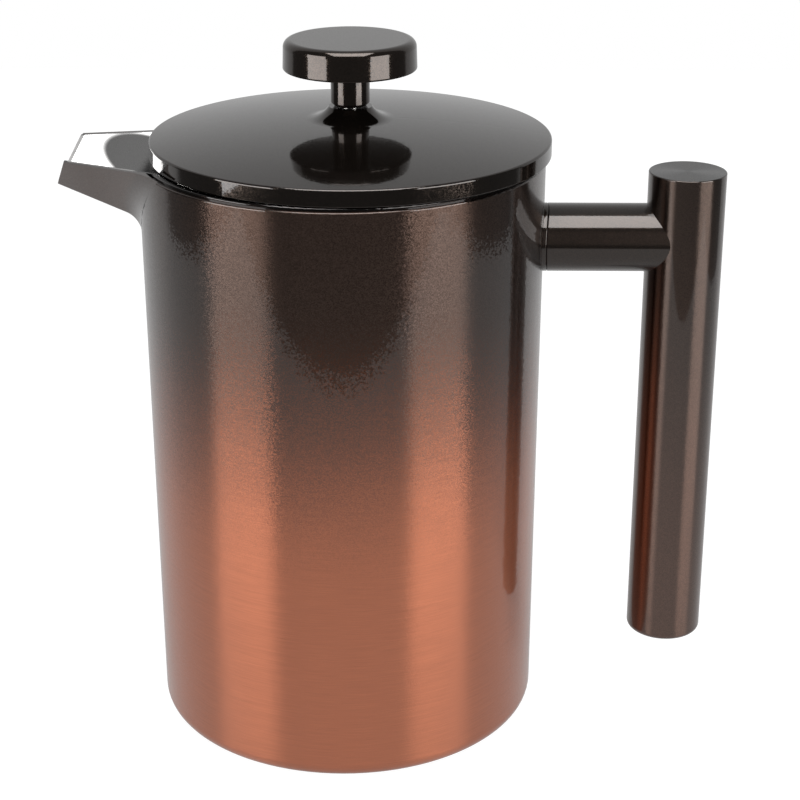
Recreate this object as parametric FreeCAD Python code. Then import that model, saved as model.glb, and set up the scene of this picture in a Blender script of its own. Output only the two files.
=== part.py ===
import FreeCAD
import Part
import math
import os

# A one-litre french press: a double-walled steel jug with a V-shaped spout and a T-shaped handle,
# a loose lid with a guide bush, and a plunger whose filter runs down inside the jug.
# Millimetres. The origin is the centre of the jug's foot, +Z is up, the handle is at +X and the
# spout at -X. The plunger is modelled pressed right down, with the knob resting over the lid.

V = FreeCAD.Vector
TOLERANCE = 0.01
OVERRUN = 30.0

# Outer shell
SHELL_TOP_RADIUS = 53.0
SHELL_FOOT_RADIUS = 52.2
SHELL_WALL = 0.8
SHELL_TOP = 156.9
SHELL_SHOULDER = 0.4
FOOT_CORNER = 4.0
FOOT_OPENING = 41.0

# Base plate, pressed so that its middle is level with the foot
BASE_SHEET = 0.8
BASE_FLAT_RADIUS = 36.0
BASE_STEP = 2.0
BASE_LAP_RADIUS = 44.0

# Inner pot
POT_RADIUS = 48.4
POT_WALL = 0.7
POT_FLOOR = 6.8
POT_CORNER = 8.0
RIM_THICKNESS = 0.8
RIM_RADIUS = 52.0
RIM_ROUND = 0.35
RIM_TOP = SHELL_TOP + RIM_THICKNESS

# Spout: a V folded along its keel, from the tip to a section hidden inside the pot
TIP_KEEL = V(-75.1, 0, 148.4)
TIP_CORNER = V(-70.1, 15.1, 158.6)
ROOT_KEEL = V(-36.0, 0, 131.0)
ROOT_CORNER = V(-36.0, 26.9, 157.2)
SKIN_WALL = 0.9
LINING_WALL = 0.7
KEEL_ROUND = 2.5
SPOUT_BLEND = 7.5
SPOUT_OVERREACH = 1.4
SPOUT_LEAD = 0.1
SEAM_BAND = 0.5
SPOUT_LIP_SETBACK = 0.3

# Handle
GRIP_DISTANCE = 90.2
GRIP_RADIUS = 10.2
GRIP_BOTTOM = 19.1
GRIP_TOP = 152.8
GRIP_WALL = 1.2
CAP_THICKNESS = 2.0
CAP_PLUG = 4.0
GRIP_TOP_ROUND = 0.3
GRIP_BOTTOM_ROUND = 1.6
STUB_RADIUS = 9.03
STUB_HEIGHT = 134.8
STUB_WALL = 1.2
COLLAR_THICKNESS = 1.1
COLLAR_BEVEL = 0.25
BACKING_THICKNESS = 1.2
BACKING_WIDTH = 34.0
BACKING_HEIGHT = 32.0

# Lid: it has play in the jug's mouth and sits pushed towards the handle
LID_PLAY = 2.2
LID_RADIUS = 52.2
LID_SHEET = 1.0
LID_SKIRT_BOTTOM = 158.0
LID_EDGE_HEIGHT = 162.25
LID_EDGE_ROUND = 0.6
LID_HEM_ROUND = 0.2
DOME_RISE = 4.8
HUMP_RADIUS = 11.5
HUMP_TOP_RADIUS = 5.6
HUMP_TOP = 170.0
HUMP_WAIST = V(8.0, 0, 167.75)
LINER_SHEET = 0.8
LINER_HEIGHT = 158.2
LINER_EDGE_GAP = 0.1
LOCATING_RADIUS = 45.8
LOCATING_WALL = 0.8
LOCATING_BOTTOM = 139.0
SLOT_COUNT = 13
SLOT_WIDTH = 1.6
SLOT_HEIGHT = 11.0
SLOT_BOTTOM = 142.5
SLOT_PITCH = 5.0

# Guide bush and its nut
ROD_RADIUS = 2.5
RUNNING_CLEARANCE = 0.05
BUSH_RADIUS = 4.0
BUSH_FLANGE_RADIUS = 5.0
BUSH_FLANGE_THICKNESS = 0.6
BUSH_BOTTOM = 152.6
BUSH_NUT_THICKNESS = 4.0
BUSH_NUT_RADIUS = 7.5
FLOAT = 0.3

# Knob
KNOB_RADIUS = 17.3
KNOB_DRAFT = 0.25
KNOB_BOTTOM = 179.7
KNOB_TOP = 187.4
KNOB_ROUND = 2.0
KNOB_SHEET = 1.2
KNOB_EDGE_ROUND = 0.5
NECK_RADIUS = 5.05
NECK_CHAMFER = 0.8
NECK_FOOT = 170.3
INSERT_FLANGE = 1.6
INSERT_GAP = 0.1
SOCKET_TOP = 181.0

# Plunger rod and filter, listed from the bottom up
ROD_BOTTOM = 8.2
ROD_TOP = 180.6
HUB_BOTTOM = 9.0
HUB_RADIUS = 6.4
CROSS_BOTTOM = 13.6
CROSS_THICKNESS = 1.0
CROSS_RADIUS = 38.0
CROSS_WINDOWS = 6
CROSS_WINDOW_RADIUS = 8.5
CROSS_WINDOW_DISTANCE = 24.0
MESH_THICKNESS = 0.5
MESH_RADIUS = POT_RADIUS - 0.3
MESH_LIP_HEIGHT = 4.4
SPIRAL_THICKNESS = 0.8
SPIRAL_RADIUS = 42.3
SPIRAL_RIM_HEIGHT = 4.2
SPIRAL_HOLE_RADIUS = 1.9
SPIRAL_HOLE_RINGS = ((11.0, 6), (18.5, 12), (26.0, 18), (33.5, 24))
COLLAR_RADIUS = 5.5
COLLAR_HEIGHT = 3.0
SPRING_WIRE_RADIUS = 1.4
SPRING_GAP = 0.1


def export(shape, node):
    """Write one sub-part as its own STEP file."""
    shape.exportStep(f"parts/{node}.step")


def turned(*outline):
    """Solid of revolution about Z from a closed outline of (radius, height) points."""
    points = [V(radius, 0, height) for radius, height in outline]
    face = Part.Face(Part.makePolygon(points + points[:1]))
    return face.revolve(V(0, 0, 0), V(0, 0, 1), 360)


def tube(outer, inner, bottom, top):
    """Upright tube centred on Z."""
    return turned((inner, bottom), (outer, bottom), (outer, top), (inner, top))


def disc(radius, bottom, top):
    """Upright cylinder centred on Z."""
    return Part.makeCylinder(radius, top - bottom, V(0, 0, bottom))


def ring_edges(solid, radius, height):
    """Circular edges of a turned solid at one radius and height."""
    found = []
    for edge in solid.Edges:
        curve = edge.Curve
        if not isinstance(curve, Part.Circle):
            continue
        same_radius = abs(curve.Radius - radius) < TOLERANCE
        same_height = abs(curve.Center.z - height) < TOLERANCE
        if same_radius and same_height:
            found.append(edge)
    return found


def rounded(solid, size, *rings):
    """Round the circular edges at the given (radius, height) places."""
    edges = [edge for ring in rings for edge in ring_edges(solid, *ring)]
    return solid.makeFillet(size, edges)


def chamfered(solid, size, *rings):
    """Bevel the circular edges at the given (radius, height) places."""
    edges = [edge for ring in rings for edge in ring_edges(solid, *ring)]
    return solid.makeChamfer(size, edges)


def on_lid_axis(shape):
    """Move a shape from the jug's axis to the axis of the lid and plunger."""
    return shape.translated(V(LID_PLAY, 0, 0))


# --- Jug ---------------------------------------------------------------------------------------

def shell_radius(height):
    """Radius of the shell's slightly conical outside at a height."""
    return SHELL_FOOT_RADIUS + (SHELL_TOP_RADIUS - SHELL_FOOT_RADIUS) * height / SHELL_TOP


def shell_form(inset, foot, top):
    """Solid jug shape: the shell's outside moved in by inset, square at the top."""
    foot_radius = shell_radius(foot) - inset
    form = turned((0, foot), (foot_radius, foot), (shell_radius(top) - inset, top), (0, top))
    return rounded(form, FOOT_CORNER - inset, (foot_radius, foot))


def tall_shell_form(inset):
    """The shell's shape moved in by inset and carried on well past its rim."""
    return shell_form(inset, max(inset, 0), SHELL_TOP + OVERRUN)


def outer_shell(channel):
    """Drawn outer wall, open at the foot for the base plate and notched for the spout."""
    outside = shell_form(0, 0, SHELL_TOP)
    outside = rounded(outside, SHELL_SHOULDER, (SHELL_TOP_RADIUS, SHELL_TOP))
    inside = shell_form(SHELL_WALL, SHELL_WALL, SHELL_TOP - SHELL_WALL)
    mouth = disc(SHELL_TOP_RADIUS - SHELL_SHOULDER - SHELL_WALL, SHELL_TOP - 2 * SHELL_WALL, SHELL_TOP)
    foot_opening = disc(FOOT_OPENING, 0, SHELL_WALL)
    return outside.cut(inside).cut(mouth).cut(foot_opening).cut(channel)


def base_plate():
    """Pressed disc: its middle is level with the foot, its edge laps over the shell's flange."""
    step_top = BASE_FLAT_RADIUS + BASE_STEP
    upper_step = step_top + BASE_SHEET / 2
    return turned(
        (0, 0),
        (BASE_FLAT_RADIUS, 0),
        (step_top, SHELL_WALL),
        (BASE_LAP_RADIUS, SHELL_WALL),
        (BASE_LAP_RADIUS, SHELL_WALL + BASE_SHEET),
        (upper_step - BASE_SHEET, SHELL_WALL + BASE_SHEET),
        (BASE_FLAT_RADIUS - BASE_SHEET / 2, BASE_SHEET),
        (0, BASE_SHEET),
    )


def inner_pot(channel):
    """Inner vessel with a turned-out rim that lies on top of the shell."""
    outer_radius = POT_RADIUS + POT_WALL
    outer_floor = POT_FLOOR - POT_WALL
    body = rounded(disc(outer_radius, outer_floor, RIM_TOP), POT_CORNER + POT_WALL, (outer_radius, outer_floor))
    rim = disc(RIM_RADIUS, SHELL_TOP, RIM_TOP)
    rim = rounded(rim, RIM_ROUND, (RIM_RADIUS, RIM_TOP))
    hollow = rounded(disc(POT_RADIUS, POT_FLOOR, RIM_TOP), POT_CORNER, (POT_RADIUS, POT_FLOOR))
    return body.fuse(rim).cut(hollow).cut(channel).removeSplitter()


# --- Spout -------------------------------------------------------------------------------------

def beak_section(place, inset, height):
    """V section of the spout: place is 0 at the tip and 1 at the root, inset moves both walls in."""
    keel = TIP_KEEL + (ROOT_KEEL - TIP_KEEL) * place
    corner = TIP_CORNER + (ROOT_CORNER - TIP_CORNER) * place
    wall = corner - keel
    lift = inset * math.hypot(wall.y, wall.z) / wall.y
    low = keel + V(0, 0, lift)
    high = low + wall * height
    mirrored = V(high.x, -high.y, high.z)
    return Part.makePolygon([high, low, mirrored, high])


def beak(start, inset, height):
    """Solid V between one section and the root, with its keel rounded."""
    form = Part.makeLoft([beak_section(start, inset, height), beak_section(1, inset, height)], True, True)
    keel = [edge for edge in form.Edges if all(abs(vertex.Y) < TOLERANCE for vertex in edge.Vertexes)]
    return form.makeFillet(KEEL_ROUND - inset, keel)


def above_spout_rim():
    """Block that holds everything over the plane of the spout's rim."""
    rim = ROOT_CORNER - TIP_CORNER
    past = V(OVERRUN, 0, OVERRUN * rim.z / rim.x)
    outside = TIP_CORNER - past
    inside = ROOT_CORNER + past
    up = V(0, 0, 2 * OVERRUN)
    side = Part.makePolygon([outside, inside, inside + up, outside + up, outside])
    block = Part.Face(side).extrude(V(0, -2 * SHELL_TOP_RADIUS, 0))
    return block.translated(V(0, SHELL_TOP_RADIUS - TIP_CORNER.y, 0))


def spout_channel():
    """Space that the lining fills, which also cuts the notch in the shell and the pot."""
    return beak(-SPOUT_LEAD, SKIN_WALL, SPOUT_OVERREACH)


def seam_edges(joined):
    """Edges where the spout's walls meet the jug."""
    found = []
    for edge in joined.Edges:
        middle = edge.valueAt((edge.FirstParameter + edge.LastParameter) / 2)
        radius = math.hypot(middle.x, middle.y)
        on_jug = abs(radius - SHELL_TOP_RADIUS) < SEAM_BAND and middle.x < 0
        level = abs(edge.BoundBox.ZLength) < TOLERANCE
        if on_jug and not level and not isinstance(edge.Curve, (Part.Line, Part.Circle)):
            found.append(edge)
    return found


def spout_skin():
    """Painted outside of the spout, blended into the shell."""
    jug = tall_shell_form(0)
    joined = jug.fuse(beak(0, 0, SPOUT_OVERREACH))
    blended = joined.makeFillet(SPOUT_BLEND, seam_edges(joined))
    return blended.cut(jug).cut(above_spout_rim()).cut(spout_channel())


def spout_lining():
    """Bare steel trough inside the spout, which runs through both walls into the pot."""
    setback = SPOUT_LIP_SETBACK / (ROOT_KEEL.x - TIP_KEEL.x)
    trough = beak(setback, SKIN_WALL, SPOUT_OVERREACH)
    trough = trough.cut(beak(-SPOUT_LEAD, SKIN_WALL + LINING_WALL, SPOUT_OVERREACH))
    return trough.cut(above_spout_rim()).cut(disc(POT_RADIUS, 0, 2 * RIM_TOP))


# --- Handle ------------------------------------------------------------------------------------

def on_grip_axis(shape):
    """Move a shape from the jug's axis to the axis of the grip."""
    return shape.translated(V(GRIP_DISTANCE, 0, 0))


def lying_cylinder(radius):
    """Cylinder along +X at the stub's height, from the jug's axis to the grip's axis."""
    return Part.makeCylinder(radius, GRIP_DISTANCE, V(0, 0, STUB_HEIGHT), V(1, 0, 0))


def saddle_edges(solid, distance):
    """Curved outline edges of a stub piece where it lies at one distance from the jug's surface."""
    found = []
    for edge in solid.Edges:
        middle = edge.valueAt((edge.FirstParameter + edge.LastParameter) / 2)
        from_stub_axis = math.hypot(middle.y, middle.z - STUB_HEIGHT)
        from_jug_axis = math.hypot(middle.x, middle.y) - SHELL_TOP_RADIUS
        on_outline = abs(from_stub_axis - STUB_RADIUS) < TOLERANCE
        closed = edge.Length > 2 * STUB_RADIUS
        if on_outline and closed and abs(from_jug_axis - distance) < COLLAR_THICKNESS / 2:
            found.append(edge)
    return found


def stub_collar():
    """Thin saddle washer between the shell and the stub."""
    collar = lying_cylinder(STUB_RADIUS).common(tall_shell_form(-COLLAR_THICKNESS))
    collar = collar.cut(tall_shell_form(0)).cut(lying_cylinder(STUB_RADIUS - STUB_WALL))
    return collar.makeFillet(COLLAR_BEVEL, saddle_edges(collar, COLLAR_THICKNESS))


def handle_stub():
    """Level tube that joins the collar to the grip, cut to fit both."""
    stub = lying_cylinder(STUB_RADIUS).cut(lying_cylinder(STUB_RADIUS - STUB_WALL))
    stub = stub.cut(tall_shell_form(-COLLAR_THICKNESS))
    stub = stub.cut(on_grip_axis(disc(GRIP_RADIUS, 0, GRIP_TOP)))
    return stub.makeFillet(COLLAR_BEVEL, saddle_edges(stub, COLLAR_THICKNESS))


def backing_plate():
    """Curved plate inside the double wall that spreads the handle's load."""
    plate = tall_shell_form(SHELL_WALL).cut(tall_shell_form(SHELL_WALL + BACKING_THICKNESS))
    corner = V(0, -BACKING_WIDTH / 2, STUB_HEIGHT - BACKING_HEIGHT / 2)
    return plate.common(Part.makeBox(2 * SHELL_TOP_RADIUS, BACKING_WIDTH, BACKING_HEIGHT, corner))


def grip_tube():
    """Upright tube of the grip, between its two caps."""
    bottom = GRIP_BOTTOM + CAP_THICKNESS
    top = GRIP_TOP - CAP_THICKNESS
    return on_grip_axis(tube(GRIP_RADIUS, GRIP_RADIUS - GRIP_WALL, bottom, top))


def grip_cap(face, rounding, direction):
    """End cap with a plug that fits into the tube; direction is +1 for a cap that faces up."""
    seat = face - direction * CAP_THICKNESS
    plug_end = seat - direction * CAP_PLUG
    cap = disc(GRIP_RADIUS, min(face, seat), max(face, seat))
    cap = rounded(cap, rounding, (GRIP_RADIUS, face))
    plug = disc(GRIP_RADIUS - GRIP_WALL, min(seat, plug_end), max(seat, plug_end))
    return on_grip_axis(cap.fuse(plug))


# --- Lid ---------------------------------------------------------------------------------------

def dome_point(radius, sheet):
    """Point on the lid's shallow dome, lowered by sheet."""
    rise = DOME_RISE * (1 - (radius / LID_RADIUS) ** 2)
    return V(radius, 0, LID_EDGE_HEIGHT + rise - sheet)


def lid_form(inset):
    """Solid lid shape, moved in by inset: skirt, dome and the hump round the rod."""
    drop = V(0, 0, -inset)
    radius = LID_RADIUS - inset
    edge = dome_point(radius, inset)
    hump_foot = dome_point(HUMP_RADIUS, inset)
    hump_top = V(HUMP_TOP_RADIUS, 0, HUMP_TOP) + drop
    outline = [
        Part.Arc(edge, dome_point((radius + HUMP_RADIUS) / 2, inset), hump_foot).toShape(),
        Part.Arc(hump_foot, HUMP_WAIST + drop, hump_top).toShape(),
    ]
    corners = [hump_top, V(0, 0, hump_top.z), V(0, 0, LID_SKIRT_BOTTOM), V(radius, 0, LID_SKIRT_BOTTOM), edge]
    outline += [Part.makeLine(start, end) for start, end in zip(corners, corners[1:])]
    return Part.Face(Part.Wire(outline)).revolve(V(0, 0, 0), V(0, 0, 1), 360)


def lid_cover():
    """Painted lid: a shallow dome with a short skirt and a hump that carries the guide bush."""
    outside = rounded(lid_form(0), LID_EDGE_ROUND, (LID_RADIUS, LID_EDGE_HEIGHT))
    cover = outside.cut(lid_form(LID_SHEET)).cut(disc(BUSH_RADIUS, LID_SKIRT_BOTTOM, HUMP_TOP))
    return on_lid_axis(rounded(cover, LID_HEM_ROUND, (LID_RADIUS, LID_SKIRT_BOTTOM)))


def lid_liner():
    """Flat inner cover with a locating ring, slotted towards the spout so that coffee is strained."""
    plate = tube(LID_RADIUS - LID_SHEET - LINER_EDGE_GAP, BUSH_RADIUS, LINER_HEIGHT, LINER_HEIGHT + LINER_SHEET)
    ring = tube(LOCATING_RADIUS, LOCATING_RADIUS - LOCATING_WALL, LOCATING_BOTTOM, LINER_HEIGHT)
    slots = []
    for number in range(SLOT_COUNT):
        slot = Part.makeBox(LID_RADIUS, SLOT_WIDTH, SLOT_HEIGHT, V(0, -SLOT_WIDTH / 2, SLOT_BOTTOM))
        turn = 180 + (number - (SLOT_COUNT - 1) / 2) * SLOT_PITCH
        slots.append(slot.rotated(V(0, 0, 0), V(0, 0, 1), turn))
    return on_lid_axis(plate.fuse(ring).removeSplitter().cut(slots))


def lid_bush():
    """Guide bush, flush with the top of the hump, with a flange under the lid and a long threaded body."""
    bore = ROD_RADIUS + RUNNING_CLEARANCE
    body = BUSH_RADIUS - RUNNING_CLEARANCE
    flange_top = HUMP_TOP - LID_SHEET - RUNNING_CLEARANCE
    flange_bottom = flange_top - BUSH_FLANGE_THICKNESS
    bush = turned(
        (bore, BUSH_BOTTOM),
        (body, BUSH_BOTTOM),
        (body, flange_bottom),
        (BUSH_FLANGE_RADIUS, flange_bottom),
        (BUSH_FLANGE_RADIUS, flange_top),
        (body, flange_top),
        (body, HUMP_TOP),
        (bore, HUMP_TOP),
    )
    return on_lid_axis(chamfered(bush, FLOAT, (bore, BUSH_BOTTOM), (body, BUSH_BOTTOM)))


def hexagon(radius, bottom, top):
    """Upright hexagonal prism centred on Z, with its corners at radius."""
    corners = [V(radius * math.cos(math.radians(60 * n)), radius * math.sin(math.radians(60 * n)), bottom)
               for n in range(7)]
    return Part.Face(Part.makePolygon(corners)).extrude(V(0, 0, top - bottom))


def bush_nut():
    """Hexagonal nut that holds the lid's two sheets on the bush."""
    top = LINER_HEIGHT - FLOAT
    nut = hexagon(BUSH_NUT_RADIUS, top - BUSH_NUT_THICKNESS, top)
    return on_lid_axis(nut.cut(disc(BUSH_RADIUS - RUNNING_CLEARANCE, BUSH_BOTTOM, LINER_HEIGHT)))


# --- Knob --------------------------------------------------------------------------------------

def knob_form(inset):
    """Solid knob shape moved in by inset: a thick disc, slightly narrower at the top."""
    top_radius = KNOB_RADIUS - KNOB_DRAFT - inset
    form = turned(
        (0, KNOB_BOTTOM),
        (KNOB_RADIUS - inset, KNOB_BOTTOM),
        (top_radius, KNOB_TOP - inset),
        (0, KNOB_TOP - inset),
    )
    return rounded(form, KNOB_ROUND - inset, (top_radius, KNOB_TOP - inset))


def knob_cap():
    """Pressed cap that forms the knob's top and side."""
    cap = knob_form(0).cut(knob_form(KNOB_SHEET))
    return on_lid_axis(rounded(cap, KNOB_EDGE_ROUND, (KNOB_RADIUS, KNOB_BOTTOM)))


def knob_insert():
    """Turned insert: the neck, the threaded socket for the rod and the flange that closes the cap."""
    flange_radius = KNOB_RADIUS - KNOB_SHEET - INSERT_GAP
    neck = chamfered(disc(NECK_RADIUS, NECK_FOOT, KNOB_BOTTOM), NECK_CHAMFER, (NECK_RADIUS, NECK_FOOT))
    flange = disc(flange_radius, KNOB_BOTTOM, KNOB_BOTTOM + INSERT_FLANGE)
    boss = disc(NECK_RADIUS, KNOB_BOTTOM, KNOB_TOP - 2 * KNOB_SHEET)
    socket = disc(ROD_RADIUS + RUNNING_CLEARANCE, NECK_FOOT, SOCKET_TOP)
    return on_lid_axis(neck.fuse([flange, boss]).removeSplitter().cut(socket))


# --- Plunger -----------------------------------------------------------------------------------

def plunger_rod():
    """Straight rod from under the filter's hub up into the knob."""
    rod = disc(ROD_RADIUS, ROD_BOTTOM, ROD_TOP)
    return on_lid_axis(chamfered(rod, FLOAT, (ROD_RADIUS, ROD_BOTTOM), (ROD_RADIUS, ROD_TOP)))


def rod_collar():
    """Fixed collar that the filter's plates are drawn up against."""
    bottom = CROSS_BOTTOM + CROSS_THICKNESS + MESH_THICKNESS + SPIRAL_THICKNESS
    collar = tube(COLLAR_RADIUS, ROD_RADIUS, bottom, bottom + COLLAR_HEIGHT)
    return on_lid_axis(chamfered(collar, FLOAT, (COLLAR_RADIUS, bottom + COLLAR_HEIGHT)))


def holes(radius, distance, count, bottom, top):
    """Ring of round holes about Z."""
    return [
        Part.makeCylinder(radius, top - bottom, V(distance, 0, bottom)).rotated(
            V(0, 0, 0), V(0, 0, 1), 360 * number / count)
        for number in range(count)
    ]


def spiral_plate():
    """Stiff perforated plate with a turned-up rim, which presses on the mesh."""
    bottom = CROSS_BOTTOM + CROSS_THICKNESS + MESH_THICKNESS
    top = bottom + SPIRAL_THICKNESS
    plate = tube(SPIRAL_RADIUS, ROD_RADIUS, bottom, top)
    rim = tube(SPIRAL_RADIUS, SPIRAL_RADIUS - SPIRAL_THICKNESS, top, bottom + SPIRAL_RIM_HEIGHT)
    pattern = []
    for distance, count in SPIRAL_HOLE_RINGS:
        pattern += holes(SPIRAL_HOLE_RADIUS, distance, count, bottom, top)
    return on_lid_axis(plate.fuse(rim).removeSplitter().cut(pattern))


def edge_spring():
    """Coil spring round the filter's edge, kept central in the pot by the wall, as one plain ring."""
    bottom = CROSS_BOTTOM + CROSS_THICKNESS + MESH_THICKNESS
    ring_radius = MESH_RADIUS - MESH_THICKNESS - SPRING_GAP - SPRING_WIRE_RADIUS
    height = bottom + SPRING_GAP + SPRING_WIRE_RADIUS
    return Part.makeTorus(ring_radius, SPRING_WIRE_RADIUS, V(0, 0, height))


def mesh_screen():
    """Fine mesh disc with a soft lip that wipes the pot's wall."""
    bottom = CROSS_BOTTOM + CROSS_THICKNESS
    screen = disc(MESH_RADIUS, bottom, bottom + MESH_THICKNESS)
    lip = tube(MESH_RADIUS, MESH_RADIUS - MESH_THICKNESS, bottom + MESH_THICKNESS, bottom + MESH_LIP_HEIGHT)
    return screen.fuse(lip).removeSplitter().cut(on_lid_axis(disc(ROD_RADIUS, 0, ROD_TOP)))


def cross_plate():
    """Lower plate with six windows that carries the mesh."""
    top = CROSS_BOTTOM + CROSS_THICKNESS
    plate = tube(CROSS_RADIUS, ROD_RADIUS, CROSS_BOTTOM, top)
    windows = holes(CROSS_WINDOW_RADIUS, CROSS_WINDOW_DISTANCE, CROSS_WINDOWS, CROSS_BOTTOM, top)
    return on_lid_axis(plate.cut(windows))


def cross_hub():
    """Hexagonal hub that screws onto the rod under the cross plate."""
    return on_lid_axis(hexagon(HUB_RADIUS, HUB_BOTTOM, CROSS_BOTTOM).cut(disc(ROD_RADIUS, 0, CROSS_BOTTOM)))


def build():
    """Make every sub-part, by node name."""
    channel = spout_channel()
    return {
        "outer_shell": outer_shell(channel),
        "base_plate": base_plate(),
        "inner_pot": inner_pot(channel),
        "spout_skin": spout_skin(),
        "spout_lining": spout_lining(),
        "backing_plate": backing_plate(),
        "stub_collar": stub_collar(),
        "handle_stub": handle_stub(),
        "grip_tube": grip_tube(),
        "grip_top_cap": grip_cap(GRIP_TOP, GRIP_TOP_ROUND, 1),
        "grip_bottom_cap": grip_cap(GRIP_BOTTOM, GRIP_BOTTOM_ROUND, -1),
        "lid_cover": lid_cover(),
        "lid_liner": lid_liner(),
        "lid_bush": lid_bush(),
        "bush_nut": bush_nut(),
        "knob_cap": knob_cap(),
        "knob_insert": knob_insert(),
        "plunger_rod": plunger_rod(),
        "rod_collar": rod_collar(),
        "spiral_plate": spiral_plate(),
        "edge_spring": edge_spring(),
        "mesh_screen": mesh_screen(),
        "cross_plate": cross_plate(),
        "cross_hub": cross_hub(),
    }


if __name__ == "__main__":
    os.makedirs("parts", exist_ok=True)
    for node, shape in build().items():
        export(shape, node)
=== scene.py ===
import math

import bpy
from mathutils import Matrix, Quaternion, Vector


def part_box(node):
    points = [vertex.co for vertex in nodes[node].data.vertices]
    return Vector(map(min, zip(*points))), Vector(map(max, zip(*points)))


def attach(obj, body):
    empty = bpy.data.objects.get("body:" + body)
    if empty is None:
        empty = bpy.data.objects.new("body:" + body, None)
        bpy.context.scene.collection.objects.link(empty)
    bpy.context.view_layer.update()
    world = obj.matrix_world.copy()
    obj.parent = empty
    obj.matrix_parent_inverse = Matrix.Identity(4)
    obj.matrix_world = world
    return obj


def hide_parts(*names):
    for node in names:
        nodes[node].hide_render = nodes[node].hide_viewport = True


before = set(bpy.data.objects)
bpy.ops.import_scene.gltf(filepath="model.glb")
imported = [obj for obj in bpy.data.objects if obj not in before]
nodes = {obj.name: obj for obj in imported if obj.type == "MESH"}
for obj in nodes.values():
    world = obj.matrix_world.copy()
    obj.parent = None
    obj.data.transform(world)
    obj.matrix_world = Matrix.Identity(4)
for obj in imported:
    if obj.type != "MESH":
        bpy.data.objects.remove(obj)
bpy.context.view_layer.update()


def middle(node):
    """Centre of a CAD node's box."""
    low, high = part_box(node)
    return (low + high) / 2


# Places that the finishes are worked out from. Lengths are in metres, turns in degrees.
UPRIGHT = (0, 0, 1)
SIDEWAYS = (1, 0, 0)
JUG_AXIS = Vector((0, 0, 0))
GRIP_AXIS = Vector((middle("grip_tube").x, 0, 0))
STUB_AXIS = middle("handle_stub")
SHELL_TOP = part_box("outer_shell")[1].z
SPOUT_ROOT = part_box("spout_lining")[1]

# Camera: a longish lens, a little above the jug and just right of square on
CAMERA_AIM = Vector((0.01501, 0.00019, 0.08784))
CAMERA_DISTANCE = 0.53599
CAMERA_TURN = 0.722
CAMERA_ELEVATION = 22.187
CAMERA_LENS = 88.01
CAMERA_SENSOR = 36.0

# Light tent: a white table that ends in front of the jug, a white back and three soft boxes
TABLE_LEFT = -0.47
TABLE_RIGHT = 0.47
TABLE_FRONT = -0.33
TABLE_BACK = 0.80
TABLE_DROP = 0.0001
TABLE_GLOW = 0.37
TABLE_GLOW_SEEN = 0.95
TABLE_SHADE = 0.16
TABLE_ROUGHNESS = 0.8
TENT_GLOW = 0.45
TENT_SHADE = 0.075
TENT_EDGE = 0.37
TENT_EDGE_BLUR = 0.06
BOX_DISTANCE = 0.90
SIDE_BOX_WIDTH = 0.57
SIDE_BOX_BOTTOM = -0.065
SIDE_BOX_TOP = 0.60
SIDE_BOX_GLOW = 5.2
LEFT_BOX_TURN = -57.5
LEFT_BOX_ROLL = 7.0
RIGHT_BOX_TURN = 54.5
RIGHT_BOX_ROLL = -4.0
TOP_BOX_ELEVATION = 70.0
TOP_BOX_WIDTH = 0.73
TOP_BOX_DEPTH = 0.69
TOP_BOX_GLOW = 6.0

# Filter wires
SPRING_WIRE = 0.00025
SPRING_SIDES = 8
SPRING_STEPS = 12
SPRING_TURNS = 140
SPRING_RING_STEPS = 64
SCREEN_WIRE = 0.00024
SCREEN_CELLS = 68
SCREEN_THICKNESS = 0.0005
SCREEN_RISE = 0.0001
SCREEN_LIP_WIRES = 216
SCREEN_LIP_ROWS = 3
SCREEN_EDGE = 0.00025
SCREEN_EDGE_SIDES = 8

# Colours of the finishes
BLACK = (0, 0, 0, 1)
WHITE = (1, 1, 1, 1)
COPPER = (0.445, 0.132, 0.057, 1)
BROWN_DEEP = (0.042, 0.026, 0.02, 1)
BROWN_PALE = (0.088, 0.057, 0.045, 1)
LID_BROWN = (0.022, 0.017, 0.014)
KNOB_BROWN = (0.03, 0.023, 0.019)
GRIP_BROWN_LOW = (0.105, 0.064, 0.05, 1)
GRIP_BROWN_HIGH = (0.055, 0.041, 0.035, 1)
STUB_BROWN = (0.03, 0.022, 0.018, 1)
# Painted shade for the handle's flat end faces
END_FACE_PAINTED_SHADE = (0.014, 0.011, 0.01, 1)
HANDLE_FLECK = (1.4, 1.35, 1.3, 1)
RIM_BROWN = (0.012, 0.008, 0.007, 1)
DUST_GREY = (0.8, 0.8, 0.8, 1)
BRUSHED_TONE = (1, 0.985, 0.96, 1)
POLISHED_TONE = (1, 0.99, 0.97, 1)
LINING_TONE = (1, 0.99, 0.98, 1)

# Brushing: how much the direction out from the axis counts in its direction, per metre, the
# quarter turn that lays the stretched highlights across it, and how far they are stretched
OUTWARD_SHARE = 0.5
QUARTER_TURN = 0.25
JUG_STRETCH = 0.97
HANDLE_STRETCH = 0.95

# Brushed lines per metre across them, and the noise cells that they pass on their way round
JUG_LINES = 5200.0
JUG_LINE_CELLS = 5.0
HANDLE_LINES = 4500.0
HANDLE_LINE_CELLS = 4.0
STEEL_LINES = 4200.0
STEEL_LINE_CELLS = 8.0
POLISH_LINES = 3000.0
POLISH_LINE_CELLS = 3.0

# Depths of the fine relief in the finishes
JUG_LINE_DEPTH = 0.000004
HANDLE_LINE_DEPTH = 0.000003
STEEL_LINE_DEPTH = 0.000006
POT_LINE_DEPTH = 0.000003
POLISH_LINE_DEPTH = 0.000002
LINING_GRAIN_DEPTH = 0.000002
JUG_PEEL_DEPTH = 0.000003
LID_PEEL_DEPTH = 0.000001
HANDLE_PEEL_DEPTH = 0.000004

# A noise keeps within about this reach of its middle
NOISE_MIDDLE = 0.5
WHOLE_REACH = 0.3
MOST_REACH = 0.25
INNER_REACH = 0.2

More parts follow.
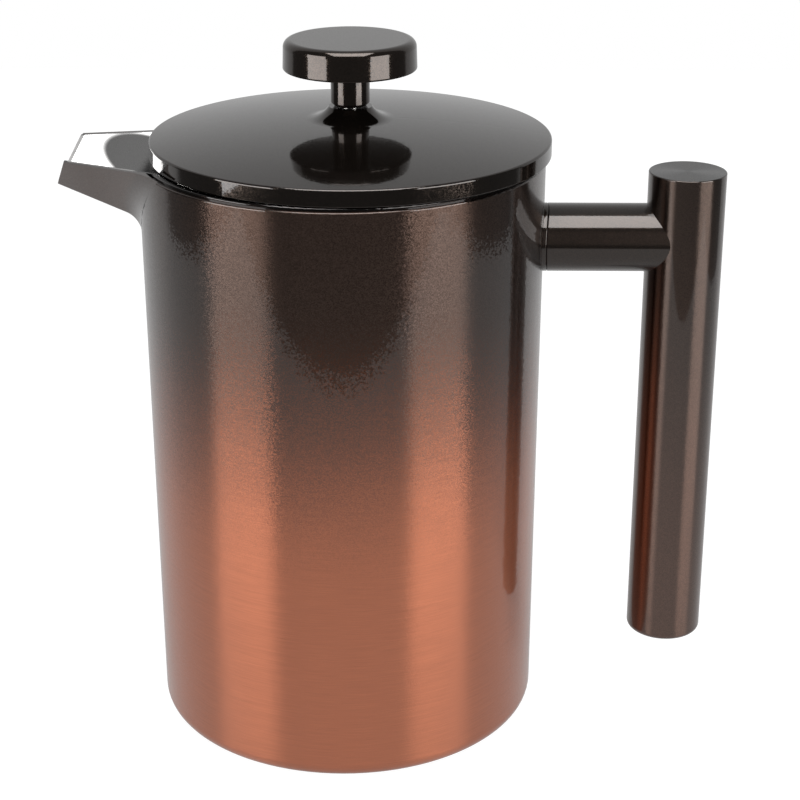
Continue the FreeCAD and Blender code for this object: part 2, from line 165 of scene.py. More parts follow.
# The jug's lacquer fades over this range of heights, blurred by the spray and a slow wander
FADE_LOW = 0.056
FADE_HIGH = 0.127
SPRAY_REACH = 0.022
WANDER_REACH = 0.012
WANDER_SCALE = 22.0
SPRAY_MIDDLE = 0.017

# The lacquer is thinner on the spout than this far along it
SPOUT_THIN = -0.066
SPOUT_FULL = -0.052
SPOUT_COAT = 0.6

# The grip is redder below and greyer above, between these heights
GRIP_LOW = 0.03
GRIP_HIGH = 0.15
# Painted shade on the handle's flat end faces, between these amounts of facing along its axis
END_FACE_FROM = 0.6
END_FACE_FULL = 0.95

# Metal flakes under the lacquer and how far they tilt, facets of its orange peel, specks of dust in it
JUG_FLAKE = 0.00022
JUG_FLAKE_TILT = 0.07
LID_FLAKE = 0.0003
LID_FLAKE_TILT = 0.03
HANDLE_FLAKE = 0.0002
HANDLE_FLAKE_TILT = 0.05
COAT_ROUGHNESS = 0.03
PEEL_SCALE = 1100.0
PEEL_FACET = 0.0004
PEEL_TILT = 0.004
JUG_PEEL_TILT = 0.024
DUST_SPACING = 0.004
DUST_SHARE = 0.15
DUST_SIZE = 0.05

# The pot's rim is lacquered outside this radius, down to this far below the shell's top
RIM_PAINT_RADIUS = 0.0489
RIM_PAINT_DEPTH = 0.0005

# Painted reflection as dark patches on the walls of the spout's trough, its cut end, and painted shade at its
# mouth in the pot
REFLECTION_PATCH_SIDE = 0.5
REFLECTION_PATCH_BACK = 0.0075
REFLECTION_PATCH_HALF_WIDTH = 0.007
REFLECTION_PATCH_HALF_LENGTH = 0.0155
REFLECTION_PATCH_FULL = 0.75
REFLECTION_PATCH_GONE = 1.1
REFLECTION_PATCH_DARKENING = 0.045
LINING_END = -0.0694
LINING_END_SLOPE = 0.49
LINING_END_SHADE = 0.12
MOUTH_START = -0.0525
MOUTH_FADE = 0.002
MOUTH_SHADE = 0.12


# --- Shader nodes ------------------------------------------------------------------------------

def plug(tree, socket, value):
    """Link a socket to another one, or set it to a plain value."""
    if isinstance(value, bpy.types.NodeSocket):
        tree.links.new(value, socket)
    else:
        socket.default_value = value


def math_node(tree, operation, first, second=0.0):
    """One Math node; returns its output."""
    made = tree.nodes.new("ShaderNodeMath")
    made.operation = operation
    plug(tree, made.inputs[0], first)
    plug(tree, made.inputs[1], second)
    return made.outputs[0]


def vector_node(tree, operation, first, second=(0, 0, 0)):
    """One Vector Math node; returns its vector output."""
    made = tree.nodes.new("ShaderNodeVectorMath")
    made.operation = operation
    plug(tree, made.inputs[0], first)
    plug(tree, made.inputs[1], second)
    return made.outputs["Vector"]


def scaled(tree, vector, amount):
    """A vector times a number."""
    made = tree.nodes.new("ShaderNodeVectorMath")
    made.operation = "SCALE"
    plug(tree, made.inputs[0], vector)
    plug(tree, made.inputs["Scale"], amount)
    return made.outputs["Vector"]


def level_part(tree, vector):
    """A vector without its upright part; returns it and its length."""
    flat = vector_node(tree, "MULTIPLY", vector, (1, 1, 0))
    measured = tree.nodes.new("ShaderNodeVectorMath")
    measured.operation = "LENGTH"
    tree.links.new(flat, measured.inputs[0])
    return flat, measured.outputs["Value"]


def parts_of(tree, vector):
    """The X, Y and Z outputs of a vector."""
    split = tree.nodes.new("ShaderNodeSeparateXYZ")
    tree.links.new(vector, split.inputs[0])
    return split.outputs


def facing(tree):
    """The direction that the surface faces."""
    return tree.nodes.new("ShaderNodeNewGeometry").outputs["Normal"]


def mapped(tree, value, low, high, to_low=0.0, to_high=1.0, smooth=True):
    """A value carried from one range to another."""
    made = tree.nodes.new("ShaderNodeMapRange")
    made.interpolation_type = "SMOOTHSTEP" if smooth else "LINEAR"
    for name, amount in (("Value", value), ("From Min", low), ("From Max", high),
                         ("To Min", to_low), ("To Max", to_high)):
        plug(tree, made.inputs[name], amount)
    return made.outputs[0]


def between(tree, amount, first, second):
    """A number between two others, as far along as the amount says."""
    return mapped(tree, amount, 0.0, 1.0, first, second, smooth=False)


def varied(tree, grain, reach, least, most):
    """A number that follows a noise from least to most, within reach of the noise's middle."""
    return mapped(tree, grain, NOISE_MIDDLE - reach, NOISE_MIDDLE + reach, least, most, smooth=False)


def blended(tree, amount, first, second, mode="MIX"):
    """Two colours mixed; returns the colour output."""
    made = tree.nodes.new("ShaderNodeMix")
    made.data_type = "RGBA"
    made.blend_type = mode
    colours = [socket for socket in made.inputs if socket.type == "RGBA"]
    plug(tree, made.inputs[0], amount)
    plug(tree, colours[0], first)
    plug(tree, colours[1], second)
    return [socket for socket in made.outputs if socket.type == "RGBA"][0]


def noise(tree, vector, scale, detail=2.0, roughness=0.5):
    """A noise texture's value, from 0 to 1."""
    made = tree.nodes.new("ShaderNodeTexNoise")
    plug(tree, made.inputs["Vector"], vector)
    plug(tree, made.inputs["Scale"], scale)
    made.inputs["Detail"].default_value = detail
    made.inputs["Roughness"].default_value = roughness
    return made.outputs[0]


def cells(tree, place, size):
    """Random cells of about the given size; returns their random colour and the distance in them."""
    made = tree.nodes.new("ShaderNodeTexVoronoi")
    plug(tree, made.inputs["Vector"], place)
    plug(tree, made.inputs["Scale"], math_node(tree, "DIVIDE", 1.0, size))
    return made.outputs["Color"], made.outputs["Distance"]


def bump(tree, height, distance, normal=None):
    """A Bump node on a height; returns its normal."""
    made = tree.nodes.new("ShaderNodeBump")
    made.inputs["Distance"].default_value = distance
    plug(tree, made.inputs["Height"], height)
    if normal is not None:
        plug(tree, made.inputs["Normal"], normal)
    return made.outputs[0]


def group(name, inputs, outputs):
    """An empty node group with a number or vector socket for each name; returns its tree and both ends."""
    kinds = {"number": "NodeSocketFloat", "vector": "NodeSocketVector"}
    tree = bpy.data.node_groups.new(name, "ShaderNodeTree")
    for label, kind in inputs:
        tree.interface.new_socket(name=label, in_out="INPUT", socket_type=kinds[kind])
    for label, kind in outputs:
        tree.interface.new_socket(name=label, in_out="OUTPUT", socket_type=kinds[kind])
    taken = tree.nodes.new("NodeGroupInput").outputs
    given = tree.nodes.new("NodeGroupOutput").inputs
    return tree, taken, given


def use(tree, made, **values):
    """Place a node group in a material with its own values; returns its outputs."""
    placed = tree.nodes.new("ShaderNodeGroup")
    placed.node_tree = made
    for label, value in values.items():
        plug(tree, placed.inputs[label], value)
    return placed.outputs


# --- Selecting and settling --------------------------------------------------------------------

def alone(piece=None):
    """Nothing selected, or only one piece, which is then the active one."""
    bpy.ops.object.select_all(action="DESELECT")
    if piece is not None:
        piece.select_set(True)
        bpy.context.view_layer.objects.active = piece


def settle(piece, name):
    """Name a piece and put its place into its vertices."""
    alone(piece)
    bpy.ops.object.transform_apply(location=True, rotation=True, scale=True)
    piece.name = name
    piece.data.name = name
    return piece


def apply_all(piece):
    """Apply every modifier of a piece."""
    bpy.context.view_layer.objects.active = piece
    for modifier in list(piece.modifiers):
        bpy.ops.object.modifier_apply(modifier=modifier.name)


def pick(piece, wanted):
    """Select the vertices of a piece that fit a test, and leave it in edit mode."""
    bpy.ops.object.mode_set(mode="EDIT")
    bpy.ops.mesh.select_mode(type="VERT")
    bpy.ops.mesh.select_all(action="DESELECT")
    bpy.ops.object.mode_set(mode="OBJECT")
    for vertex in piece.data.vertices:
        vertex.select = wanted(vertex.co)
    bpy.ops.object.mode_set(mode="EDIT")


# --- Stage -------------------------------------------------------------------------------------

def direction(turn, height):
    """Unit vector at turn degrees from the camera's side towards +X and height degrees up."""
    level = math.cos(math.radians(height))
    across = math.sin(math.radians(turn))
    ahead = math.cos(math.radians(turn))
    return Vector((across * level, -ahead * level, math.sin(math.radians(height))))


def soft_box(name, turn, height, wide, tall, lift, roll, glow):
    """Area light of the given size that faces the jug from a direction, raised by lift and rolled."""
    light = bpy.data.lights.new(name, "AREA")
    light.shape = "RECTANGLE"
    light.size = wide
    light.size_y = tall
    light.energy = glow * math.pi * wide * tall
    box = bpy.data.objects.new(name, light)
    bpy.context.scene.collection.objects.link(box)
    towards = direction(turn, height)
    box.location = CAMERA_AIM + towards * BOX_DISTANCE + Vector((0, 0, lift))
    rolled = Quaternion((0, 0, 1), math.radians(roll))
    box.rotation_euler = (towards.to_track_quat("Z", "Y") @ rolled).to_euler()


def soft_boxes():
    """A tall soft box on each side and one overhead."""
    tall = SIDE_BOX_TOP - SIDE_BOX_BOTTOM
    lift = (SIDE_BOX_TOP + SIDE_BOX_BOTTOM) / 2 - CAMERA_AIM.z
    for name, turn, roll in (("left_soft_box", LEFT_BOX_TURN, LEFT_BOX_ROLL),
                             ("right_soft_box", RIGHT_BOX_TURN, RIGHT_BOX_ROLL)):
        soft_box(name, turn, 0.0, SIDE_BOX_WIDTH, tall, lift, roll, SIDE_BOX_GLOW)
    soft_box("top_soft_box", 0.0, TOP_BOX_ELEVATION, TOP_BOX_WIDTH, TOP_BOX_DEPTH, 0.0, 0.0, TOP_BOX_GLOW)


def camera():
    """The camera, aimed at the middle of the jug."""
    lens = bpy.data.cameras.new("camera")
    lens.lens = CAMERA_LENS
    lens.sensor_width = CAMERA_SENSOR
    eye = bpy.data.objects.new("camera", lens)
    bpy.context.scene.collection.objects.link(eye)
    back = direction(CAMERA_TURN, CAMERA_ELEVATION)
    eye.location = CAMERA_AIM + back * CAMERA_DISTANCE
    eye.rotation_euler = back.to_track_quat("Z", "Y").to_euler()
    bpy.context.scene.camera = eye


def table():
    """The white table top that the jug stands on, which hides nothing when it is seen from below."""
    alone()
    bpy.ops.mesh.primitive_plane_add(size=1)
    top = bpy.context.object
    top.location = ((TABLE_LEFT + TABLE_RIGHT) / 2, (TABLE_FRONT + TABLE_BACK) / 2, -TABLE_DROP)
    top.scale = (TABLE_RIGHT - TABLE_LEFT, TABLE_BACK - TABLE_FRONT, 1)
    settle(top, "table_top")
    made = bpy.data.materials.new("white_table")
    made.use_nodes = True
    tree = made.node_tree
    shader = tree.nodes["Principled BSDF"]
    shader.inputs["Base Color"].default_value = (TABLE_SHADE, TABLE_SHADE, TABLE_SHADE, 1)
    shader.inputs["Roughness"].default_value = TABLE_ROUGHNESS
    shader.inputs["Specular IOR Level"].default_value = 0.0
    shader.inputs["Emission Color"].default_value = WHITE
    seen = tree.nodes.new("ShaderNodeLightPath").outputs["Is Camera Ray"]
    plug(tree, shader.inputs["Emission Strength"], between(tree, seen, TABLE_GLOW, TABLE_GLOW_SEEN))
    under = tree.nodes.new("ShaderNodeNewGeometry").outputs["Backfacing"]
    plug(tree, shader.inputs["Alpha"], math_node(tree, "SUBTRACT", 1.0, under))
    top.data.materials.append(made)


def tent():
    """White surroundings behind the jug and shade in front of it; the backdrop itself is white."""
    world = bpy.data.worlds.new("tent")
    bpy.context.scene.world = world
    world.use_nodes = True
    tree = world.node_tree
    tree.nodes.clear()
    towards = tree.nodes.new("ShaderNodeTexCoord").outputs["Generated"]
    level = level_part(tree, towards)[1]
    behind = math_node(tree, "DIVIDE", parts_of(tree, towards)["Y"], level)
    around = tree.nodes.new("ShaderNodeBackground")
    around.inputs["Color"].default_value = WHITE
    plug(tree, around.inputs["Strength"], mapped(tree, behind, TENT_EDGE - TENT_EDGE_BLUR,
                                                 TENT_EDGE + TENT_EDGE_BLUR, TENT_SHADE, TENT_GLOW))
    backdrop = tree.nodes.new("ShaderNodeBackground")
    backdrop.inputs["Color"].default_value = WHITE
    backdrop.inputs["Strength"].default_value = 1.0
    mix = tree.nodes.new("ShaderNodeMixShader")
    tree.links.new(tree.nodes.new("ShaderNodeLightPath").outputs["Is Camera Ray"], mix.inputs[0])
    tree.links.new(around.outputs[0], mix.inputs[1])
    tree.links.new(backdrop.outputs[0], mix.inputs[2])
    out = tree.nodes.new("ShaderNodeOutputWorld")
    tree.links.new(mix.outputs[0], out.inputs["Surface"])


# --- Effects shared by the finishes ------------------------------------------------------------

def turned_grain():
    """Fine lines that run round an upright axis, as brushing on a lathe leaves them."""
    tree, taken, given = group("turned_grain",
                               [("Place", "vector"), ("Lines", "number"), ("Cells", "number")],
                               [("Grain", "number")])
    flat, radius = level_part(tree, taken["Place"])
    across = math_node(tree, "ADD", parts_of(tree, taken["Place"])["Z"], radius)
    along = scaled(tree, vector_node(tree, "NORMALIZE", flat), taken["Cells"])
    up = scaled(tree, UPRIGHT, math_node(tree, "MULTIPLY", across, taken["Lines"]))
    plug(tree, given["Grain"], noise(tree, vector_node(tree, "ADD", along, up), 1.0, 3.0, 0.6))
    return tree


def flakes():
    """Tiny metal flakes in a paint: a random tilt of the surface and a random shade for each."""
    tree, taken, given = group("flakes",
                               [("Place", "vector"), ("Size", "number"), ("Tilt", "number")],
                               [("Shade", "number"), ("Normal", "vector")])
    colour = cells(tree, taken["Place"], taken["Size"])[0]
    plug(tree, given["Shade"], parts_of(tree, colour)["X"])
    centred = vector_node(tree, "SUBTRACT", colour, (0.5, 0.5, 0.5))
    leaning = vector_node(tree, "ADD", facing(tree), scaled(tree, centred, taken["Tilt"]))
    plug(tree, given["Normal"], vector_node(tree, "NORMALIZE", leaning))
    return tree


def dust():
    """A few bright specks, a fraction of a millimetre across."""
    tree, taken, given = group("dust",
                               [("Place", "vector"), ("Spacing", "number"), ("Share", "number"),
                                ("Size", "number")],
                               [("Specks", "number")])
    colour, distance = cells(tree, taken["Place"], taken["Spacing"])
    parts = parts_of(tree, colour)
    chosen = math_node(tree, "LESS_THAN", parts["X"], taken["Share"])
    size = math_node(tree, "MULTIPLY", taken["Size"], parts["Y"])
    near = math_node(tree, "LESS_THAN", distance, size)
    plug(tree, given["Specks"], math_node(tree, "MULTIPLY", chosen, near))
    return tree


TURNED_GRAIN = turned_grain()
FLAKES = flakes()
DUST = dust()


# --- Finishes ----------------------------------------------------------------------------------

def finish(name):
    """A new material; returns it with its tree, its shader and its object coordinates."""
    made = bpy.data.materials.new(name)
    made.use_nodes = True
    tree = made.node_tree
    shader = tree.nodes["Principled BSDF"]
    place = tree.nodes.new("ShaderNodeTexCoord").outputs["Object"]
    return made, tree, shader, place


def clear_coat(tree, shader, place, peel, tilt=PEEL_TILT, index=1.5):
    """Glossy lacquer over a finish, with a faint orange peel of small facets."""
    shader.inputs["Coat Weight"].default_value = 1.0
    shader.inputs["Coat Roughness"].default_value = COAT_ROUGHNESS
    shader.inputs["Coat IOR"].default_value = index
    ripple = noise(tree, place, PEEL_SCALE, 2.0, 0.6)
    facets = use(tree, FLAKES, Place=place, Size=PEEL_FACET, Tilt=tilt)["Normal"]
    plug(tree, shader.inputs["Coat Normal"], bump(tree, ripple, peel, facets))


def brushed_round(tree, shader, place, axis, centre, amount):
    """Highlights stretched by brushing round an axis through centre, in the surface wherever they can be."""
    outward = scaled(tree, vector_node(tree, "SUBTRACT", place, tuple(centre)), OUTWARD_SHARE)
    upward = vector_node(tree, "ADD", facing(tree), outward)
    tangent = vector_node(tree, "NORMALIZE", vector_node(tree, "CROSS_PRODUCT", axis, upward))
    shader.inputs["Anisotropic"].default_value = amount
    shader.inputs["Anisotropic Rotation"].default_value = QUARTER_TURN
    plug(tree, shader.inputs["Tangent"], tangent)


def jug_paint():
    """The jug's lacquer: dark brown at the top, fading through a speckled band to brushed copper."""
    made, tree, shader, place = finish("jug_paint")
    parts = parts_of(tree, place)
    speckle = use(tree, FLAKES, Place=place, Size=JUG_FLAKE, Tilt=JUG_FLAKE_TILT)
    spray = math_node(tree, "MULTIPLY", speckle["Shade"], SPRAY_REACH)
    wander = math_node(tree, "MULTIPLY", noise(tree, place, WANDER_SCALE), WANDER_REACH)
    shift = math_node(tree, "SUBTRACT", math_node(tree, "ADD", spray, wander), SPRAY_MIDDLE)
    dark = mapped(tree, math_node(tree, "ADD", parts["Z"], shift), FADE_LOW, FADE_HIGH)
    grain = use(tree, TURNED_GRAIN, Place=place, Lines=JUG_LINES, Cells=JUG_LINE_CELLS)["Grain"]
    copper = blended(tree, 1.0, COPPER, varied(tree, grain, INNER_REACH, 0.9, 1.1), "MULTIPLY")
    brown = blended(tree, speckle["Shade"], BROWN_DEEP, BROWN_PALE)
    plug(tree, shader.inputs["Base Color"], blended(tree, dark, copper, brown))
    plug(tree, shader.inputs["Metallic"], between(tree, dark, 0.75, 1.0))
    plug(tree, shader.inputs["Roughness"], varied(tree, grain, WHOLE_REACH, 0.27, 0.33))
    shader.inputs["Specular IOR Level"].default_value = 1.0
    brushed_round(tree, shader, place, UPRIGHT, JUG_AXIS, JUG_STRETCH)
    plug(tree, shader.inputs["Normal"], bump(tree, grain, JUG_LINE_DEPTH, speckle["Normal"]))
    clear_coat(tree, shader, place, JUG_PEEL_DEPTH, JUG_PEEL_TILT)
    plug(tree, shader.inputs["Coat Weight"],
         mapped(tree, parts["X"], SPOUT_THIN, SPOUT_FULL, SPOUT_COAT, 1.0))
    return made


def dark_paint(name, colour, roughness, index):
    """Dark lacquer over polished steel."""
    made, tree, shader, place = finish(name)
    speckle = use(tree, FLAKES, Place=place, Size=LID_FLAKE, Tilt=LID_FLAKE_TILT)
    paler = tuple(1.5 * part for part in colour)
    shade = blended(tree, speckle["Shade"], colour + (1,), paler + (1,))
    specks = use(tree, DUST, Place=place, Spacing=DUST_SPACING, Share=DUST_SHARE, Size=DUST_SIZE)["Specks"]
    plug(tree, shader.inputs["Base Color"], blended(tree, specks, shade, DUST_GREY))
    shader.inputs["Metallic"].default_value = 0.88
    shader.inputs["Specular IOR Level"].default_value = 0.0
    shader.inputs["Roughness"].default_value = roughness
    plug(tree, shader.inputs["Normal"], speckle["Normal"])
    clear_coat(tree, shader, place, LID_PEEL_DEPTH, index=index)
    return made


def brushed_paint(name, axis, centre, low_colour, high_colour):
    """Dark brown lacquer over steel that was brushed round an axis; flat end faces get painted shade, a
    darker base under the lacquer.
    """
    made, tree, shader, place = finish(name)
    speckle = use(tree, FLAKES, Place=place, Size=HANDLE_FLAKE, Tilt=HANDLE_FLAKE_TILT)
    parts = parts_of(tree, place)
    turned = tree.nodes.new("ShaderNodeCombineXYZ")
    for source, target in zip("XYZ" if axis == UPRIGHT else "YZX", "XYZ"):
        tree.links.new(parts[source], turned.inputs[target])
    grain = use(tree, TURNED_GRAIN, Place=turned.outputs[0],
                Lines=HANDLE_LINES, Cells=HANDLE_LINE_CELLS)["Grain"]
    low = mapped(tree, parts["Z"], GRIP_LOW, GRIP_HIGH, 1.0, 0.0)
    shade = blended(tree, low, high_colour, low_colour)
    flecked = blended(tree, speckle["Shade"], shade, HANDLE_FLECK, "MULTIPLY")
    along = math_node(tree, "ABSOLUTE", parts_of(tree, facing(tree))["Z" if axis == UPRIGHT else "X"])
    # Painted shade: a darker base on faces that look along the axis, so only the lacquer's reflection shows
    # there
    end_face_shade = mapped(tree, along, END_FACE_FROM, END_FACE_FULL)
    plug(tree, shader.inputs["Base Color"], blended(tree, end_face_shade, flecked, END_FACE_PAINTED_SHADE))
    shader.inputs["Metallic"].default_value = 1.0
    plug(tree, shader.inputs["Roughness"], varied(tree, grain, WHOLE_REACH, 0.26, 0.34))
    brushed_round(tree, shader, place, axis, centre, HANDLE_STRETCH)
    plug(tree, shader.inputs["Normal"], bump(tree, grain, HANDLE_LINE_DEPTH, speckle["Normal"]))
    clear_coat(tree, shader, place, HANDLE_PEEL_DEPTH)
    return made


def turned_steel(tree, place, depth):
    """Steel brushed round the jug's axis; returns its colour, its roughness and its normal."""
    grain = use(tree, TURNED_GRAIN, Place=place, Lines=STEEL_LINES, Cells=STEEL_LINE_CELLS)["Grain"]
    colour = blended(tree, varied(tree, grain, MOST_REACH, 0.5, 0.66), BLACK, BRUSHED_TONE)
    return colour, varied(tree, grain, WHOLE_REACH, 0.24, 0.36), bump(tree, grain, depth)


def brushed_steel():
    """Bare stainless steel, brushed round the jug's axis."""
    made, tree, shader, place = finish("brushed_stainless")
    colour, roughness, normal = turned_steel(tree, place, STEEL_LINE_DEPTH)
    plug(tree, shader.inputs["Base Color"], colour)
    shader.inputs["Metallic"].default_value = 1.0
    plug(tree, shader.inputs["Roughness"], roughness)
    plug(tree, shader.inputs["Normal"], normal)
    return made


def pot_steel():
    """Brushed stainless steel whose turned-out rim is lacquered with the shell."""
    made, tree, shader, place = finish("pot_stainless")
    colour, roughness, normal = turned_steel(tree, place, POT_LINE_DEPTH)
    outside = math_node(tree, "GREATER_THAN", level_part(tree, place)[1], RIM_PAINT_RADIUS)
    high = math_node(tree, "GREATER_THAN", parts_of(tree, place)["Z"], SHELL_TOP - RIM_PAINT_DEPTH)
    painted = math_node(tree, "MULTIPLY", outside, high)
    plug(tree, shader.inputs["Base Color"], blended(tree, painted, colour, RIM_BROWN))
    shader.inputs["Metallic"].default_value = 1.0
    plug(tree, shader.inputs["Roughness"], between(tree, painted, roughness, 0.2))
    plug(tree, shader.inputs["Normal"], normal)
    plug(tree, shader.inputs["Coat Weight"], painted)
    shader.inputs["Coat Roughness"].default_value = COAT_ROUGHNESS
    return made


def painted_reflection_patch(tree, parts):
    """How far a point of the spout's trough is inside the painted reflection, a dark oval on the wall on its
    side.
    """
    from_side = math_node(tree, "SUBTRACT", math_node(tree, "ABSOLUTE", parts["Y"]), REFLECTION_PATCH_SIDE * SPOUT_ROOT.y)
    from_back = math_node(tree, "SUBTRACT", parts["X"], SPOUT_ROOT.x - REFLECTION_PATCH_BACK)
    across = math_node(tree, "DIVIDE", from_side, REFLECTION_PATCH_HALF_WIDTH)
    along = math_node(tree, "DIVIDE", from_back, REFLECTION_PATCH_HALF_LENGTH)
    away = math_node(tree, "ADD", math_node(tree, "MULTIPLY", across, across),
                     math_node(tree, "MULTIPLY", along, along))
    return mapped(tree, away, REFLECTION_PATCH_FULL, REFLECTION_PATCH_GONE, 1.0, 0.0)


def lining_steel():
    """Polished stainless steel of the spout's trough, with a painted reflection as a dark patch on each wall
    near the pot and painted shade at its mouth in the pot.
    """
    made, tree, shader, place = finish("lining_stainless")
    parts = parts_of(tree, place)
    grain = noise(tree, place, 900.0, 3.0, 0.6)
    bright = varied(tree, grain, INNER_REACH, 0.6, 0.7)
    # Painted reflection: the steel's tone is darkened to a dark oval on each wall of the trough
    painted_reflection_tone = math_node(tree, "MULTIPLY", bright, REFLECTION_PATCH_DARKENING)
    shade = between(tree, painted_reflection_patch(tree, parts), bright, painted_reflection_tone)
    # Painted shade: the trough's steel is darkened where it runs into the pot under the lid
    inner = mapped(tree, parts["X"], MOUTH_START, MOUTH_START + MOUTH_FADE)
    shade = between(tree, inner, shade, MOUTH_SHADE)
    below_rim = math_node(tree, "SUBTRACT", SPOUT_ROOT.z, parts["Z"])
    slant = math_node(tree, "MULTIPLY", below_rim, LINING_END_SLOPE)
    from_end = math_node(tree, "ADD", parts["X"], slant)
    shade = between(tree, math_node(tree, "LESS_THAN", from_end, LINING_END), shade, LINING_END_SHADE)
    plug(tree, shader.inputs["Base Color"], blended(tree, shade, BLACK, LINING_TONE))
    shader.inputs["Metallic"].default_value = 1.0
    plug(tree, shader.inputs["Roughness"], varied(tree, grain, WHOLE_REACH, 0.2, 0.3))
    plug(tree, shader.inputs["Normal"], bump(tree, grain, LINING_GRAIN_DEPTH))
    return made


def polished_steel():
    """Turned and polished stainless steel."""
    made, tree, shader, place = finish("polished_stainless")
    grain = use(tree, TURNED_GRAIN, Place=place, Lines=POLISH_LINES, Cells=POLISH_LINE_CELLS)["Grain"]
    smear = noise(tree, place, 60.0, 3.0)
    shade = varied(tree, grain, WHOLE_REACH, 0.58, 0.66)
    plug(tree, shader.inputs["Base Color"], blended(tree, shade, BLACK, POLISHED_TONE))
    shader.inputs["Metallic"].default_value = 1.0
    plug(tree, shader.inputs["Roughness"], mapped(tree, smear, 0.3, 0.7, 0.1, 0.2))
    plug(tree, shader.inputs["Normal"], bump(tree, grain, POLISH_LINE_DEPTH))
    return made


def dress(made, *names):
    """Give CAD nodes a finish."""
    for name in names:
        slots = nodes[name].data.materials
        slots.clear()
        slots.append(made)


# --- Pieces ------------------------------------------------------------------------------------

def coil_spring():
    """The filter's edge spring: a fine wire coil bent into a ring."""
    low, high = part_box("edge_spring")
    coil = (high.z - low.z) / 2
    ring = high.y - coil
    alone()
    bpy.ops.mesh.primitive_circle_add(vertices=SPRING_SIDES, radius=SPRING_WIRE,
                                      location=(coil - SPRING_WIRE, 0, 0), rotation=(math.pi / 2, 0, 0))
    wire = bpy.context.object
    bpy.ops.object.transform_apply(location=True, rotation=True, scale=True)
    turns = wire.modifiers.new("turns", "SCREW")
    turns.axis = "Z"
    turns.angle = 2 * math.pi
    turns.steps = SPRING_STEPS
    turns.render_steps = SPRING_STEPS
    turns.iterations = SPRING_TURNS
    turns.screw_offset = 2 * math.pi * ring / SPRING_TURNS
    turns.use_merge_vertices = False
    apply_all(wire)
    alone()
    bpy.ops.curve.primitive_bezier_circle_add(radius=ring)
    circle = bpy.context.object
    circle.data.resolution_u = SPRING_RING_STEPS
    alone(wire)
    bent = wire.modifiers.new("ring", "CURVE")
    bent.object = circle
    bent.deform_axis = "POS_Z"
    apply_all(wire)
    alone(circle)
    bpy.ops.object.delete()
    alone(wire)
    bpy.ops.object.mode_set(mode="EDIT")
    bpy.ops.mesh.select_all(action="SELECT")
    bpy.ops.mesh.fill_holes(sides=0)
    bpy.ops.mesh.select_all(action="SELECT")
    bpy.ops.mesh.normals_make_consistent(inside=False)
    bpy.ops.object.mode_set(mode="OBJECT")
    wire.location = (0, 0, (low.z + high.z) / 2)
    bpy.ops.object.shade_smooth()
    return settle(wire, "coil_spring")


def screen_disc(radius, height):
    """The flat part of the screen: a round grid holed for the rod, with crossings up and down in turn."""
    rod = middle("plunger_rod").x
    rod_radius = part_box("plunger_rod")[1].y + SCREEN_WIRE
    alone()
    bpy.ops.mesh.primitive_grid_add(x_subdivisions=SCREEN_CELLS, y_subdivisions=SCREEN_CELLS,
                                    size=2 * radius, location=(0, 0, height))
    weave = bpy.context.object
    bpy.ops.object.transform_apply(location=True, rotation=True, scale=True)
    pitch = 2 * radius / SCREEN_CELLS

    def unwanted(co):
        return math.hypot(co.x, co.y) > radius - pitch / 2 or math.hypot(co.x - rod, co.y) < rod_radius

    def raised(co):
        return (round((co.x + radius) / pitch) + round((co.y + radius) / pitch)) % 2 == 0

    pick(weave, unwanted)
    bpy.ops.mesh.delete(type="VERT")
    bpy.ops.object.mode_set(mode="OBJECT")
    pick(weave, raised)
    bpy.ops.transform.translate(value=(0, 0, SCREEN_RISE))
    bpy.ops.mesh.select_all(action="INVERT")
    bpy.ops.transform.translate(value=(0, 0, -SCREEN_RISE))
    bpy.ops.object.mode_set(mode="OBJECT")
    return weave


def screen_lip(radius, bottom, top):
    """The upright edge of the screen, in rows of square cells."""
    alone()
    bpy.ops.mesh.primitive_circle_add(vertices=SCREEN_LIP_WIRES, radius=radius, location=(0, 0, bottom))
    lip = bpy.context.object
    bpy.ops.object.transform_apply(location=True, rotation=True, scale=True)
    bpy.ops.object.mode_set(mode="EDIT")
    bpy.ops.mesh.select_all(action="SELECT")
    step = (top - bottom) / SCREEN_LIP_ROWS
    for _ in range(SCREEN_LIP_ROWS):
        bpy.ops.mesh.extrude_region_move(TRANSFORM_OT_translate={"value": (0, 0, step)})
    bpy.ops.object.mode_set(mode="OBJECT")
    return lip


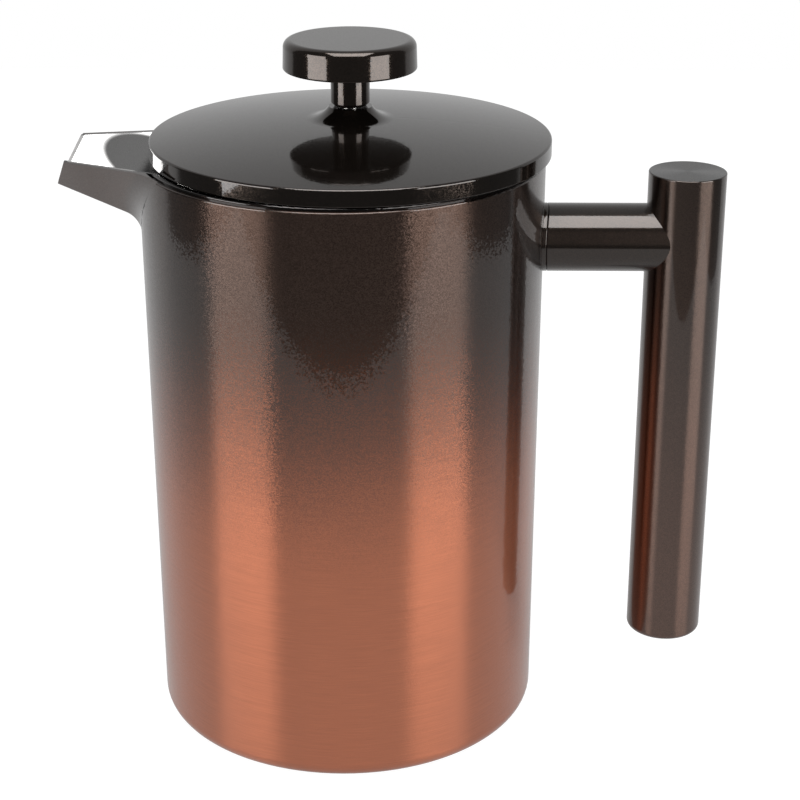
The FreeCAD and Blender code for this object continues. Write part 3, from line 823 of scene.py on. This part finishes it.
def binding_ring(radius, height):
    """A wire ring that binds an edge of the screen."""
    alone()
    bpy.ops.mesh.primitive_torus_add(major_radius=radius, minor_radius=SCREEN_EDGE,
                                     major_segments=SCREEN_LIP_WIRES, minor_segments=SCREEN_EDGE_SIDES,
                                     location=(0, 0, height))
    bpy.ops.object.shade_smooth()
    return bpy.context.object


def woven_screen():
    """The filter's screen: a disc of woven wire with an upright lip, bound at both edges."""
    low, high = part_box("mesh_screen")
    radius = high.y
    weave = screen_disc(radius, low.z + SCREEN_THICKNESS / 2)
    lip = screen_lip(radius - SCREEN_WIRE, low.z + SCREEN_WIRE, high.z - SCREEN_WIRE)
    for part in (weave, lip):
        alone(part)
        wires = part.modifiers.new("wires", "WIREFRAME")
        wires.thickness = SCREEN_WIRE
        wires.use_even_offset = False
        wires.use_boundary = True
        apply_all(part)
    rings = [binding_ring(radius - SCREEN_EDGE, height)
             for height in (low.z + SCREEN_EDGE, high.z - SCREEN_EDGE)]
    alone()
    for part in (weave, lip, *rings):
        part.select_set(True)
    bpy.context.view_layer.objects.active = weave
    bpy.ops.object.join()
    return settle(weave, "woven_screen")


# --- Build -------------------------------------------------------------------------------------

camera()
table()
tent()
soft_boxes()
bpy.context.scene.view_settings.view_transform = "Standard"

dress(jug_paint(), "outer_shell", "spout_skin")
dress(dark_paint("lid_paint", LID_BROWN, 0.1, 1.5), "lid_cover")
dress(dark_paint("knob_paint", KNOB_BROWN, 0.12, 1.4), "knob_cap", "knob_insert")
dress(brushed_paint("grip_paint", UPRIGHT, GRIP_AXIS, GRIP_BROWN_LOW, GRIP_BROWN_HIGH),
      "grip_tube", "grip_top_cap", "grip_bottom_cap")
dress(brushed_paint("stub_paint", SIDEWAYS, STUB_AXIS, STUB_BROWN, STUB_BROWN),
      "handle_stub", "stub_collar")
dress(pot_steel(), "inner_pot")
dress(lining_steel(), "spout_lining")
dress(brushed_steel(), "base_plate", "lid_liner", "backing_plate", "spiral_plate", "cross_plate")
polished = polished_steel()
dress(polished, "plunger_rod", "rod_collar", "lid_bush", "bush_nut", "cross_hub",
      "edge_spring", "mesh_screen")

for piece, node, slot in ((coil_spring(), "edge_spring", "spring_steel"),
                          (woven_screen(), "mesh_screen", "wire_mesh")):
    piece.data.materials.append(polished)
    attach(piece, "plunger")
    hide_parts(node)
